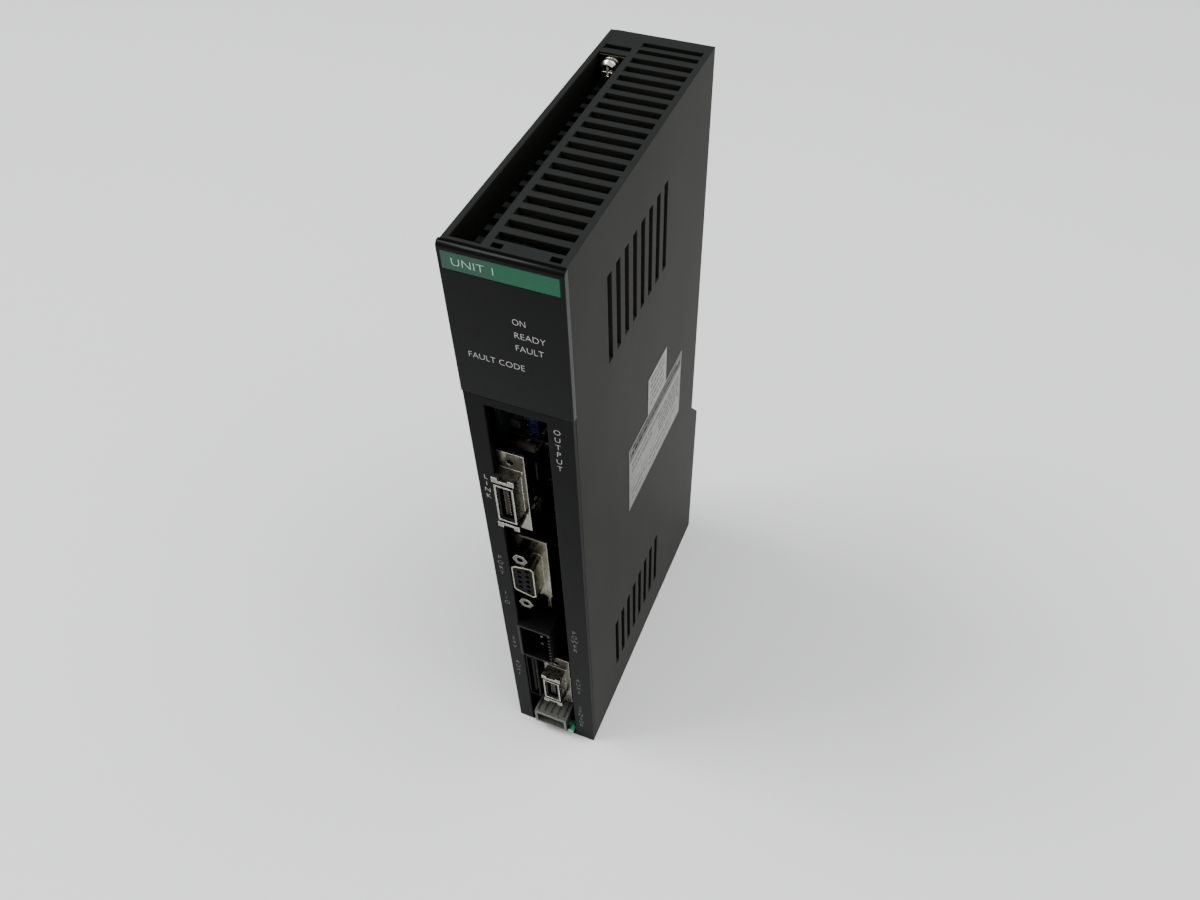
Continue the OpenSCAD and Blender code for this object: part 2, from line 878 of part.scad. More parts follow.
module bus_connector_housing() {
    x = (bus_x[0] + bus_x[1]) / 2;
    color([0.2, 0.2, 0.19]) placed() difference() {
        span([board_face, bus_x[1]], [body_d - 3, rear_y - wall - 0.1], bus_z);
        span([x - 3.2, x + 3.2], [rear_y - wall - 8, rear_y], [bus_z[0] + 1.6, bus_z[1] - 1.6]);
        for (i = [0 : bus_ways - 1], side = [-1, 1])
            bus_pin(i, side);
    }
}

module bus_pin(i, side) {
    x = (bus_x[0] + bus_x[1]) / 2 + side * 1.27;
    z = (bus_z[0] + bus_z[1]) / 2 + (i - (bus_ways - 1) / 2) * 2.54;
    span([x - 0.32, x + 0.32], [body_d - 3, rear_y - wall - 1.6], [z - 0.32, z + 0.32]);
}

module bus_connector_pins() {
    color("gold") placed()
        for (i = [0 : bus_ways - 1], side = [-1, 1])
            bus_pin(i, side);
}

// ---- Captive fixing screw ----

module screw_bracket() {
    color("darkkhaki") placed() difference() {
        span([wall + 0.2, rail_x - 0.2], [bracket_y, channel_y1], [floor_z + 0.1, body_h - 0.4]);
        rod_y(screw_x, screw_z, bracket_y - 1, channel_y1 + 1, shank_hole_r);
    }
}

module fixing_screw() {
    color("silver") placed() difference() {
        union() {
            rod_y(screw_x, screw_z, head_y + 0.9, head_y + head_t, head_d / 2);
            translate([screw_x, head_y + 0.9, screw_z]) rotate([90, 0, 0])
                cylinder(h = 0.9, r1 = head_d / 2, r2 = head_d / 2 - 0.9);
            rod_y(screw_x, screw_z, head_y + head_t - eps, collar_y + eps, shank_r);
            rod_y(screw_x, screw_z, collar_y, body_d, collar_r);
            rod_y(screw_x, screw_z, body_d - eps, body_d + screw_tip, screw_d / 2);
        }
        // Cross recess
        for (a = [0, 90])
            translate([screw_x, head_y + 0.6, screw_z]) rotate([0, a, 0])
                cube([2.9, 1.6, 0.6], center = true);
    }
}

module spring_washer() {
    color("silver") placed() difference() {
        rod_y(screw_x, screw_z, washer_y, washer_y + washer_t, head_d / 2 - 0.1);
        rod_y(screw_x, screw_z, washer_y - 1, washer_y + washer_t + 1, shank_r + 0.06);
    }
}

left_cover();
right_housing();
front_bezel();
indicator_cover();
name_strip();
rating_label();
serial_label();
main_board();
interface_board();
display_board();
display_header();
status_leds();
code_display();
stacking_header();
board_spacers();
board_screws();
link_port_shell();
link_port_insulator();
link_port_contacts();
serial_port_shell();
serial_port_insulator();
serial_port_contacts();
serial_port_jackposts();
power_port_housing();
power_port_pins();
slim_port_housing();
slim_port_contacts();
aux_port_shell();
aux_port_insulator();
aux_port_contacts();
signal_port_housing();
signal_port_pins();
coding_plug();
trimmer_bodies();
upper_trimmer_rotor();
lower_trimmer_rotor();
power_resistor();
processor_chip();
memory_chips();
driver_chips();
filter_capacitors();
dc_converter();
crystal_can();
heat_sink();
bus_connector_housing();
bus_connector_pins();
screw_bracket();
fixing_screw();
spring_washer();
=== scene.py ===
import math
import random

import bmesh
import bpy
from mathutils import Matrix, Vector


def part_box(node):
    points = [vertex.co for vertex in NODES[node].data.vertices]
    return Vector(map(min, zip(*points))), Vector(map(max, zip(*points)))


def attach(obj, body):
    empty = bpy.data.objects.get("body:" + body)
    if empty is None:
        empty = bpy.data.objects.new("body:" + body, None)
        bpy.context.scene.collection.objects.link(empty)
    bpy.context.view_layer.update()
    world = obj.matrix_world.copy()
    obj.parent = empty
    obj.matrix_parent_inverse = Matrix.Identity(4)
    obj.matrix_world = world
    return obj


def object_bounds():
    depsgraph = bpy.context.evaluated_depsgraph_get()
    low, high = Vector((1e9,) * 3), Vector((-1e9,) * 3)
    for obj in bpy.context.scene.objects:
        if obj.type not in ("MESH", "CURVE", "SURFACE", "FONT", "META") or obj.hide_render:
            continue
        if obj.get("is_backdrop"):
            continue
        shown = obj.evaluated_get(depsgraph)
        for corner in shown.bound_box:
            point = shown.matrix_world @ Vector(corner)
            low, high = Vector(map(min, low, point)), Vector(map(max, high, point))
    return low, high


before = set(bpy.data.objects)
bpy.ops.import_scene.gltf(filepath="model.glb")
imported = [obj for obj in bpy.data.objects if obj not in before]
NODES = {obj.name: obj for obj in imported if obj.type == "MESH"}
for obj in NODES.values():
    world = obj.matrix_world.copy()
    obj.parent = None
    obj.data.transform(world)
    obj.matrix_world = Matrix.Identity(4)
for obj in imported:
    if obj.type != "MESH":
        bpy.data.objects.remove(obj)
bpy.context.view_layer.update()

MM = 0.001
WELD_REACH = 1e-6  # metres within which two corners are one
BODY = "module"
rng = random.Random(7)

BEZEL_LOW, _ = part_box("front_bezel")
CORNER = Vector((BEZEL_LOW.x, BEZEL_LOW.y, 0))


def at(x, y, z):
    """A place in metres from millimetres measured from the housing's front left bottom corner."""
    return CORNER + Vector((x, y, z)) * MM


# ---------------------------------------------------------------- shader helpers

EDGE_SAMPLES = 4
NOOK_SAMPLES = 6
NOISE_SPAN = (0.3, 0.7)  # noise seldom leaves this range
EDGE_COSINES = (0.99, 0.86)  # between a face and its rounded normal: on the flat, on the edge
NOOK_SPAN = (0.25, 0.75)  # share of the surroundings that is open: deep in a hollow, outside
UPWARD_SPAN = (0.7, 0.97)  # height of the normal: on a wall, on a level face
BOUNDARY_WAVES = (-1.5 * MM, 1.5 * MM)


class Shader:
    """A material with one Principled shader and short calls for the nodes that feed it."""

    def __init__(self, name, color, rough, metal=0.0, **fixed):
        self.mat = bpy.data.materials.new(name)
        self.mat.use_nodes = True
        self.tree = self.mat.node_tree
        self.tree.nodes.clear()
        out = self.tree.nodes.new("ShaderNodeOutputMaterial")
        self.bsdf = self.tree.nodes.new("ShaderNodeBsdfPrincipled")
        self.link(self.bsdf.outputs["BSDF"], out.inputs["Surface"])
        self.coords = self.tree.nodes.new("ShaderNodeTexCoord").outputs["Object"]
        self.set("Base Color", (*color, 1))
        self.set("Roughness", rough)
        self.set("Metallic", metal)
        for socket, value in fixed.items():
            self.set(socket.replace("_", " "), value)
        self.normal = None

    def link(self, a, b):
        self.tree.links.new(a, b)

    def set(self, socket, value):
        self.bsdf.inputs[socket].default_value = value

    def noise(self, size_mm, detail=3.0, stretch=(1, 1, 1)):
        """Noise with features about size_mm across, from 0 to 1."""
        mapping = self.tree.nodes.new("ShaderNodeMapping")
        mapping.inputs["Scale"].default_value = stretch
        node = self.tree.nodes.new("ShaderNodeTexNoise")
        node.inputs["Scale"].default_value = 1 / (size_mm * MM)
        node.inputs["Detail"].default_value = detail
        self.link(self.coords, mapping.inputs["Vector"])
        self.link(mapping.outputs["Vector"], node.inputs["Vector"])
        return node.outputs["Fac"]

    def cells(self, size_mm):
        """Distance from the middle of the nearest of many cells about size_mm across."""
        node = self.tree.nodes.new("ShaderNodeTexVoronoi")
        node.inputs["Scale"].default_value = 1 / (size_mm * MM)
        self.link(self.coords, node.inputs["Vector"])
        return node.outputs["Distance"]

    def remap(self, value, low, high, to_low=0.0, to_high=1.0):
        """The value carried from one range to another and held inside it."""
        node = self.tree.nodes.new("ShaderNodeMapRange")
        sockets = ("From Min", "From Max", "To Min", "To Max")
        for socket, number in zip(sockets, (low, high, to_low, to_high)):
            node.inputs[socket].default_value = number
        self.link(value, node.inputs["Value"])
        return node.outputs["Result"]

    def math(self, operation, a, b):
        """One sum or product of two values, each a number or another node's output."""
        node = self.tree.nodes.new("ShaderNodeMath")
        node.operation = operation
        for socket, value in zip(node.inputs, (a, b)):
            if isinstance(value, (int, float)):
                socket.default_value = value
            else:
                self.link(value, socket)
        return node.outputs[0]

    def mix(self, factor, a, b):
        """Colour a where factor is 0 and b where it is 1."""
        node = self.tree.nodes.new("ShaderNodeMix")
        node.data_type = "RGBA"
        self.link(factor, node.inputs["Factor"])
        colour_a, colour_b, mixed = node.inputs[6], node.inputs[7], node.outputs[2]
        for socket, value in zip((colour_a, colour_b), (a, b)):
            if isinstance(value, tuple):
                socket.default_value = (*value, 1)
            else:
                self.link(value, socket)
        return mixed

    def edges(self, radius_mm):
        """1 near a sharp edge and 0 away from it. The edge itself is shaded as if rounded."""
        bevel = self.tree.nodes.new("ShaderNodeBevel")
        bevel.samples = EDGE_SAMPLES
        bevel.inputs["Radius"].default_value = radius_mm * MM
        self.normal = bevel.outputs["Normal"]
        geometry = self.tree.nodes.new("ShaderNodeNewGeometry")
        dot = self.tree.nodes.new("ShaderNodeVectorMath")
        dot.operation = "DOT_PRODUCT"
        self.link(bevel.outputs["Normal"], dot.inputs[0])
        self.link(geometry.outputs["Normal"], dot.inputs[1])
        return self.remap(dot.outputs["Value"], *EDGE_COSINES)

    def nook(self, reach_mm):
        """0 deep in a hollow and 1 in the open, the mask by which shade is painted into hollows.
        """
        node = self.tree.nodes.new("ShaderNodeAmbientOcclusion")
        node.samples = NOOK_SAMPLES
        node.inputs["Distance"].default_value = reach_mm * MM
        return self.remap(node.outputs["AO"], *NOOK_SPAN)

    def along_x(self, low_mm, high_mm):
        """0 at x = low_mm and 1 at x = high_mm, with a wavy boundary."""
        node = self.tree.nodes.new("ShaderNodeSeparateXYZ")
        self.link(self.coords, node.inputs[0])
        waves = self.remap(self.noise(size_mm=9, detail=2), 0, 1, *BOUNDARY_WAVES)
        wavy = self.math("ADD", node.outputs["X"], waves)
        return self.remap(wavy, at(low_mm, 0, 0).x, at(high_mm, 0, 0).x)

    def facing_up(self):
        """1 on faces that look up, 0 on walls."""
        geometry = self.tree.nodes.new("ShaderNodeNewGeometry")
        split = self.tree.nodes.new("ShaderNodeSeparateXYZ")
        self.link(geometry.outputs["Normal"], split.inputs[0])
        return self.remap(split.outputs["Z"], *UPWARD_SPAN)

    def tint(self, value):
        self.link(value, self.bsdf.inputs["Base Color"])

    def roughen(self, value):
        self.link(value, self.bsdf.inputs["Roughness"])

    def vary_roughness(self, noise, low, high):
        """Roughness that wanders between low and high with the noise."""
        self.roughen(self.remap(noise, *NOISE_SPAN, low, high))

    def bump(self, height, depth_mm):
        """Relief of the given depth, on top of any relief or rounded edge before it."""
        node = self.tree.nodes.new("ShaderNodeBump")
        node.inputs["Distance"].default_value = depth_mm * MM
        node.inputs["Strength"].default_value = 1.0
        self.link(height, node.inputs["Height"])
        if self.normal is not None:
            self.link(self.normal, node.inputs["Normal"])
        self.normal = node.outputs["Normal"]
        self.link(self.normal, self.bsdf.inputs["Normal"])


def shade(color, factor):
    """The colour made darker or paler, and never brighter than white."""
    return tuple(min(1.0, c * factor) for c in color)


# ---------------------------------------------------------------- kinds of material


def moulded(
    name, color, rough, grain_mm=0.35, grain_depth=0.012, wear_and_highlight=0.5, dust=0.25,
    shine=0.12, settled=None, worn_and_highlit=2.6, tone=(1, 1, 1),
):
    """Injection moulded plastic: fine grain, faint flow marks, dust, edges paled partly by
    rubbing and partly as a painted highlight, and painted shade deep in hollows.

    wear_and_highlight is how much of the edges is paled, worn_and_highlit how much paler they are
    then, dust how strong the specks are, settled the colour of dust on level faces, and tone the
    shine's colour.
    """
    m = Shader(name, color, rough)
    m.set("Specular IOR Level", shine)
    m.set("Specular Tint", (*tone, 1))
    flow = m.noise(size_mm=18, detail=4, stretch=(1, 1, 0.35))
    base = m.mix(m.remap(flow, *NOISE_SPAN), shade(color, 0.9), shade(color, 1.12))
    specks = m.remap(m.noise(size_mm=1.1, detail=6), 0.62, 0.74, to_high=dust)
    base = m.mix(specks, base, shade(color, 2.1))
    # Edges paled in patches: partly real rubbing, partly a painted highlight.
    patches = m.remap(m.noise(size_mm=3.5, detail=5), 0.35, 0.65, to_low=0.15, to_high=wear_and_highlight)
    rubbed_and_highlit = m.math("MULTIPLY", m.edges(radius_mm=0.35), patches)
    base = m.mix(rubbed_and_highlit, base, shade(color, worn_and_highlit))
    # Painted shade: the colour darkens deep in hollows and recesses.
    base = m.mix(m.nook(reach_mm=14), shade(color, 0.12), base)
    if settled:
        cover = m.remap(m.noise(size_mm=5, detail=5), *NOISE_SPAN, to_low=0.6)
        base = m.mix(m.math("MULTIPLY", m.facing_up(), cover), base, settled)
    m.tint(base)
    grain = m.noise(size_mm=grain_mm, detail=2)
    dry = m.remap(grain, *NOISE_SPAN, to_low=rough - 0.05, to_high=rough + 0.06)
    m.roughen(m.math("ADD", dry, m.math("MULTIPLY", rubbed_and_highlit, -0.12)))
    m.bump(grain, grain_depth)
    m.bump(m.noise(size_mm=24, detail=1), depth_mm=0.05)
    return m.mat


def plated(
    name, color, rough, rim=(0.95, 0.94, 0.9), stretch=(1, 1, 8),
    tarnish=(0.13, 0.12, 0.09), amount=0.4, edge_mm=0.28,
):
    """Plated metal: fine drawing lines, tarnished blotches and bright edges, partly rubbed and
    partly painted highlights.
    """
    m = Shader(name, color, rough, metal=1.0)
    lines = m.noise(size_mm=2.2, detail=3, stretch=stretch)
    blotch = m.remap(m.noise(size_mm=4.5, detail=3), 0.4, 0.7, to_high=amount)
    base = m.mix(blotch, m.mix(lines, shade(color, 0.8), shade(color, 1.2)), tarnish)
    # Edges take the rim colour: partly rubbed plating, partly painted highlights and glints.
    m.tint(m.mix(m.edges(edge_mm), base, rim))
    m.vary_roughness(m.noise(size_mm=1.4, detail=3), rough - 0.07, rough + 0.1)
    m.bump(lines, depth_mm=0.001)
    m.bump(m.noise(size_mm=4, detail=1), depth_mm=0.02)
    return m.mat


def clear_plastic(name, color, rim, rough):
    """Cloudy clear plastic: dark see-through faces, with painted light on level faces, painted
    shade in hollows and painted highlights on the edges.
    """
    m = Shader(name, color, rough, Transmission_Weight=0.35, IOR=1.45)
    cloud = m.remap(m.noise(size_mm=1.6, detail=4), 0.35, 0.7)
    haze = m.mix(cloud, shade(color, 0.75), shade(color, 1.3))
    # Painted light: faces that look up are made paler.
    lit = m.mix(m.facing_up(), haze, shade(color, 2.6))
    # Painted shade: darker deep in the hollows between ribs.
    hollow = m.mix(m.nook(reach_mm=2.5), shade(color, 0.1), lit)
    # Painted highlight: the edges take the bright rim colour.
    m.tint(m.mix(m.edges(radius_mm=0.14), hollow, rim))
    m.vary_roughness(m.noise(size_mm=0.9, detail=3), rough - 0.06, rough + 0.1)
    m.bump(m.noise(size_mm=2, detail=2), depth_mm=0.01)
    return m.mat


def glossy(name, color, rough, coat=0.0, rim=None, **fixed):
    """Smooth moulded plastic with slight orange peel and smears, painted shade deep in hollows
    and, where given, edges painted lighter as a highlight.
    """
    m = Shader(name, color, rough, **fixed)
    m.set("Coat Weight", coat)
    m.set("Coat Roughness", 0.08)
    smear = m.remap(m.noise(size_mm=9, detail=5, stretch=(1, 1, 0.3)), 0.35, 0.7)
    base = m.mix(smear, shade(color, 0.92), shade(color, 1.1))
    # Painted shade: the colour darkens deep in hollows.
    base = m.mix(m.nook(reach_mm=14), shade(color, 0.15), base)
    # Where a rim colour is given, the edges are painted lighter as a highlight.
    m.tint(m.mix(m.edges(radius_mm=0.2), base, rim) if rim else base)
    m.roughen(m.math("ADD", m.math("MULTIPLY", smear, 0.07), rough - 0.02))
    m.bump(m.noise(size_mm=2.2, detail=2), depth_mm=0.002)
    return m.mat


def name_foil(name, painted_reflection, deep):
    """Printed strip behind clear film, paler to the left where a reflection is painted on it."""
    m = Shader(name, deep, 0.3, Specular_IOR_Level=0.2)
    mottle = m.mix(m.noise(size_mm=2, detail=3), shade(deep, 0.9), shade(deep, 1.1))
    # Painted reflection: the strip turns paler left of x = 11 to 16 mm.
    m.tint(m.mix(m.along_x(low_mm=11, high_mm=16), painted_reflection, mottle))
    m.vary_roughness(m.noise(size_mm=3, detail=3), 0.24, 0.36)
    m.bump(m.noise(size_mm=8, detail=1), depth_mm=0.02)
    return m.mat


PIN_PITCH = 1.27  # millimetres from one pad or chip leg to the next
TRACK_PITCH = 1.3  # millimetres from one track to the next


def circuit(name, turn):
    """Solder mask over copper: darker laminate, raised tracks, tinned pads and painted shade in
    hollows.
    """
    mask, tin = (0.0016, 0.0065, 0.0038), (0.3, 0.29, 0.25)
    m = Shader(name, mask, 0.35)
    brick = m.tree.nodes.new("ShaderNodeTexBrick")
    brick.inputs["Scale"].default_value = 1 / (TRACK_PITCH * MM)
    brick.inputs["Mortar Size"].default_value = 0.09
    brick.inputs["Brick Width"].default_value = 3.4
    brick.offset = 0.37
    mapping = m.tree.nodes.new("ShaderNodeMapping")
    mapping.inputs["Rotation"].default_value = turn
    m.link(m.coords, mapping.inputs["Vector"])
    m.link(mapping.outputs["Vector"], brick.inputs["Vector"])
    track = brick.outputs["Fac"]
    base = m.mix(track, mask, shade(mask, 2.4))
    pads = m.remap(m.cells(PIN_PITCH), 0.16, 0.12)
    # Painted shade: the board darkens in hollows between parts.
    m.tint(m.mix(m.nook(reach_mm=12), shade(mask, 0.3), m.mix(pads, base, tin)))
    m.vary_roughness(m.noise(size_mm=2, detail=3), 0.28, 0.42)
    m.bump(track, depth_mm=0.03)
    return m.mat


def printed_foil(name, color):
    """Paper or foil of a stuck-on label, slightly wrinkled."""
    m = Shader(name, color, 0.38, metal=0.25)
    m.tint(m.mix(m.noise(size_mm=6, detail=4), shade(color, 0.9), shade(color, 1.08)))
    m.vary_roughness(m.noise(size_mm=1.4, detail=4), 0.3, 0.48)
    m.bump(m.noise(size_mm=0.45, detail=3), depth_mm=0.004)
    m.bump(m.noise(size_mm=14, detail=2), depth_mm=0.05)
    return m.mat


def ink(name, color, rough=0.5):
    """Screen print: slightly uneven colour and a dry surface."""
    m = Shader(name, color, rough)
    m.tint(m.mix(m.noise(size_mm=0.35, detail=3), shade(color, 0.82), shade(color, 1.05)))
    m.vary_roughness(m.noise(size_mm=0.5, detail=2), rough - 0.08, rough + 0.1)
    m.bump(m.noise(size_mm=0.2, detail=2), depth_mm=0.004)
    return m.mat


# ---------------------------------------------------------------- materials

CASE = moulded(
    "case_plastic", (0.0165, 0.0163, 0.0138), 0.5, shine=0.045,
    settled=(0.0185, 0.0205, 0.0205), tone=(1, 0.99, 0.88),
)
BEZEL = moulded(
    "bezel_plastic", (0.0028, 0.0031, 0.003), 0.48, grain_mm=0.3, grain_depth=0.008,
    wear_and_highlight=0.9, dust=0.15, shine=0.05, settled=(0.014, 0.015, 0.015), worn_and_highlit=9,
)
BLACK = moulded(
    "black_plastic", (0.003, 0.0033, 0.0036), 0.42, grain_mm=0.25, grain_depth=0.006,
    wear_and_highlight=0.25, dust=0.1,
)
SLATE = moulded(
    "slate_plastic", (0.008, 0.0125, 0.011), 0.42, grain_mm=0.25, grain_depth=0.006,
    wear_and_highlight=0.3, dust=0.15,
)
SOCKET = moulded(
    "socket_plastic", (0.0012, 0.0014, 0.0013), 0.45, grain_mm=0.25, grain_depth=0.004,
    wear_and_highlight=0.9, dust=0.1, shine=0.04, worn_and_highlit=8,
)
TAN = moulded(
    "resistor_coat", (0.055, 0.045, 0.04), 0.6, grain_mm=0.5, grain_depth=0.02,
    wear_and_highlight=0.1, dust=0.2,
)
FINS = moulded(
    "black_anodised", (0.025, 0.025, 0.028), 0.45, grain_mm=0.2, grain_depth=0.005,
    wear_and_highlight=0.6, dust=0.1,
)
# Its rim colour paints a highlight along the cover's edges.
WINDOW = glossy(
    "smoked_window", (0.0014, 0.0017, 0.0016), 0.26, rim=(0.03, 0.032, 0.031),
    Specular_IOR_Level=0.08,
)
GREEN = glossy("green_plastic", (0.04, 0.42, 0.22), 0.35, coat=0.1)
# Painted shade: the blue is darkened far below its own colour, as it lies in shadow.
BLUE = glossy("blue_plastic", (0.0005, 0.0012, 0.025), 0.4, Specular_IOR_Level=0.1)
# Painted shade: the white plastic is coloured a dark blue-grey, as if lying in shadow.
WHITE = glossy("white_plastic", (0.012, 0.022, 0.06), 0.4, Specular_IOR_Level=0.15)
SLEEVE = glossy("capacitor_sleeve", (0.012, 0.014, 0.03), 0.3, coat=0.2)
NYLON = clear_plastic("clear_nylon", (0.045, 0.047, 0.042), (0.95, 0.96, 0.92), 0.3)
NICKEL = plated("nickel_plate", (0.2, 0.196, 0.165), 0.26)
CHROMATE = plated(
    "chromate_steel", (0.3, 0.29, 0.23), 0.3, rim=(0.93, 0.91, 0.83),
    tarnish=(0.2, 0.16, 0.07),
)
DARK_STEEL = plated("dark_steel", (0.035, 0.03, 0.02), 0.4, rim=(0.1, 0.09, 0.06))
JACK = plated("jackpost_nickel", (0.06, 0.06, 0.053), 0.2, edge_mm=0.2)
TINNED = plated("tinned_ends", (0.9, 0.89, 0.86), 0.35, amount=0.0)
GOLD = plated(
    "contact_gold", (0.16, 0.13, 0.08), 0.25, rim=(0.8, 0.74, 0.58), amount=0.1,
    edge_mm=0.06,
)
CHROME = plated("bright_screw", (0.7, 0.69, 0.65), 0.14, stretch=(6, 1, 6), amount=0.25)
BRASS = plated("brass", (0.62, 0.44, 0.16), 0.3, rim=(0.9, 0.75, 0.4))
BOARD = circuit("circuit_board", turn=(math.radians(90), 0, math.radians(90)))
BOARD_FRONT = circuit("circuit_board_front", turn=(math.radians(90), 0, 0))
# Its paler colour is a painted reflection on the strip's left part.
STRIP = name_foil("green_strip", painted_reflection=(0.014, 0.062, 0.042), deep=(0.002, 0.085, 0.04))
FOIL = printed_foil("label_foil", (0.16, 0.163, 0.149))
PAPER = printed_foil("label_paper", (0.19, 0.193, 0.18))
PRINT = ink("white_print", (0.5, 0.51, 0.5))
FAINT_PRINT = ink("faint_print", (0.16, 0.165, 0.16))
STRIP_PRINT = ink("pale_green_print", (0.36, 0.66, 0.5))
LABEL_PRINT = ink("grey_print", (0.045, 0.045, 0.043))
BAND_PRINT = ink("label_band", (0.062, 0.064, 0.06))
EDGE_PRINT = ink("label_edge", (0.3, 0.305, 0.29))

# ---------------------------------------------------------------- carried-over CAD nodes

ROUNDED_ANGLE = 40  # degrees between two faces above which their edge is rounded
ROUND_SEGMENTS = 2


def finish_node(node, material, round_mm):
    """Gives a CAD node its material and, where wanted, softly rounded edges."""
    obj = NODES[node]
    obj.data.materials.clear()
    obj.data.materials.append(material)
    if round_mm:
        weld = obj.modifiers.new("join", "WELD")
        weld.merge_threshold = WELD_REACH
        bevel = obj.modifiers.new("round", "BEVEL")
        bevel.width = round_mm * MM
        bevel.segments = ROUND_SEGMENTS
        bevel.limit_method = "ANGLE"
        bevel.angle_limit = math.radians(ROUNDED_ANGLE)
        bevel.use_clamp_overlap = False


# Each node's material, and how far its edges are rounded in millimetres
FINISHES = {
    "left_cover": (CASE, 0.25),
    "right_housing": (CASE, 0.0),
    "front_bezel": (BEZEL, 0.25),
    "indicator_cover": (WINDOW, 0.2),
    "name_strip": (STRIP, 0.05),
    "rating_label": (FOIL, 0.0),
    "serial_label": (PAPER, 0.0),
    "main_board": (BOARD, 0.0),
    "interface_board": (BOARD, 0.0),
    "display_board": (BOARD_FRONT, 0.0),
    "display_header": (BLACK, 0.1),
    "status_leds": (WHITE, 0.0),
    "code_display": (SLATE, 0.1),
    "stacking_header": (BLACK, 0.2),
    "board_spacers": (BRASS, 0.1),
    "board_screws": (NICKEL, 0.06),
    "link_port_shell": (NICKEL, 0.12),
    "link_port_insulator": (BLACK, 0.08),
    "link_port_contacts": (GOLD, 0.05),
    "serial_port_shell": (CHROMATE, 0.12),
    "serial_port_insulator": (SOCKET, 0.05),
    "serial_port_contacts": (GOLD, 0.0),
    "serial_port_jackposts": (JACK, 0.12),
    "power_port_housing": (BLACK, 0.12),
    "power_port_pins": (NICKEL, 0.08),
    "slim_port_housing": (SOCKET, 0.1),
    "slim_port_contacts": (GOLD, 0.04),
    "aux_port_shell": (NICKEL, 0.12),
    "aux_port_insulator": (BLACK, 0.08),
    "aux_port_contacts": (GOLD, 0.05),
    "signal_port_housing": (NYLON, 0.0),
    "signal_port_pins": (NICKEL, 0.06),
    "coding_plug": (GREEN, 0.0),
    "trimmer_bodies": (BLUE, 0.1),
    "upper_trimmer_rotor": (WHITE, 0.06),
    "lower_trimmer_rotor": (WHITE, 0.06),
    "power_resistor": (TAN, 0.05),
    "processor_chip": (BLACK, 0.1),
    "memory_chips": (BLACK, 0.15),
    "driver_chips": (BLACK, 0.15),
    "filter_capacitors": (SLEEVE, 0.4),
    "dc_converter": (BLACK, 0.4),
    "crystal_can": (NICKEL, 0.5),
    "heat_sink": (FINS, 0.1),
    "bus_connector_housing": (SLATE, 0.12),
    "bus_connector_pins": (GOLD, 0.08),
    "screw_bracket": (DARK_STEEL, 0.05),
    "fixing_screw": (CHROME, 0.12),
    "spring_washer": (NICKEL, 0.08),
}
for node, (material, round_mm) in FINISHES.items():
    finish_node(node, material, round_mm)

# ---------------------------------------------------------------- building new pieces


def link_to_scene(obj):
    bpy.context.scene.collection.objects.link(obj)


def add_piece(name, mesh, material):
    """Puts a mesh in the scene as a piece that moves with the module."""
    obj = bpy.data.objects.new(name, mesh)
    link_to_scene(obj)
    mesh.materials.clear()
    mesh.materials.append(material)
    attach(obj, BODY)


def add_block(bm, low, high, round_mm):
    """Adds a block between two corners, in metres, with rounded edges."""
    place = Matrix.LocRotScale((low + high) / 2, None, high - low)
    made = bmesh.ops.create_cube(bm, size=1, matrix=place)
    if round_mm:
        edges = dict.fromkeys(e for v in made["verts"] for e in v.link_edges)
        bmesh.ops.bevel(
            bm, geom=list(edges), offset=round_mm * MM, segments=ROUND_SEGMENTS,
            profile=0.5, affect="EDGES", clamp_overlap=True,
        )


def block_piece(name, blocks, material, round_mm=0.0):
    """One piece made of several rounded blocks, each given by its two corners."""
    bm = bmesh.new()
    for low, high in blocks:
        add_block(bm, low, high, round_mm)
    mesh = bpy.data.meshes.new(name)
    bm.to_mesh(mesh)
    bm.free()
    add_piece(name, mesh, material)


# ---------------------------------------------------------------- captions on the front

UPRIGHT = Matrix.Rotation(math.radians(90), 4, "X")
PROUD = 0.02  # how far print stands out, in millimetres
PRINT_DEPTH = 0.01  # half the print's thickness, in millimetres
CAPITAL_SHARE = 0.72  # a capital's height over the font's size
LETTER_PITCH = 2.9  # from one letter to the one below it, in millimetres
CURVE_STEPS = 3


def lettering(name, text, place, height, thin, material, width=None):
    """Thin raised print on the front, with sizes in millimetres.

    height is the capitals' height, and thin is how much is taken off the strokes' sides.
    Where no width is given, the letters stand one above the other.
    """
    curve = bpy.data.curves.new(name, "FONT")
    curve.body = text if width else "\n".join(text)
    curve.size = height * MM / CAPITAL_SHARE
    curve.extrude = PRINT_DEPTH * MM
    curve.offset = -thin * MM
    curve.align_x = "LEFT" if width else "CENTER"
    curve.space_line = LETTER_PITCH * MM / curve.size
    curve.resolution_u = CURVE_STEPS
    obj = bpy.data.objects.new(name, curve)
    link_to_scene(obj)
    shaped = obj.evaluated_get(bpy.context.evaluated_depsgraph_get())
    mesh = bpy.data.meshes.new_from_object(shaped)
    bpy.data.objects.remove(obj)
    if width:
        xs = [v.co.x for v in mesh.vertices]
        mesh.transform(Matrix.Scale(width * MM / (max(xs) - min(xs)), 4, (1, 0, 0)))
    mesh.transform(Matrix.Translation(place) @ UPRIGHT)
    mesh.name = name
    add_piece(name, mesh, material)


lettering(
    "strip_caption", "UNIT 1", at(3.1, 0.01, 226.3), height=2.3, thin=0.07,
    material=STRIP_PRINT, width=10.6,
)

# Text, left end, foot and width in millimetres
COVER_CAPTIONS = [
    ("ON", 17.3, 212.7, 3.4),
    ("READY", 17.4, 208.5, 8.1),
    ("FAULT", 17.4, 204.4, 7.4),
    ("FAULT CODE", 3.8, 197.9, 15.4),
]
for text, x, z, width in COVER_CAPTIONS:
    name = "caption_" + text.lower().replace(" ", "_")
    lettering(
        name, text, at(x, -PROUD, z), height=2.0, thin=0.055, material=PRINT, width=width,
    )

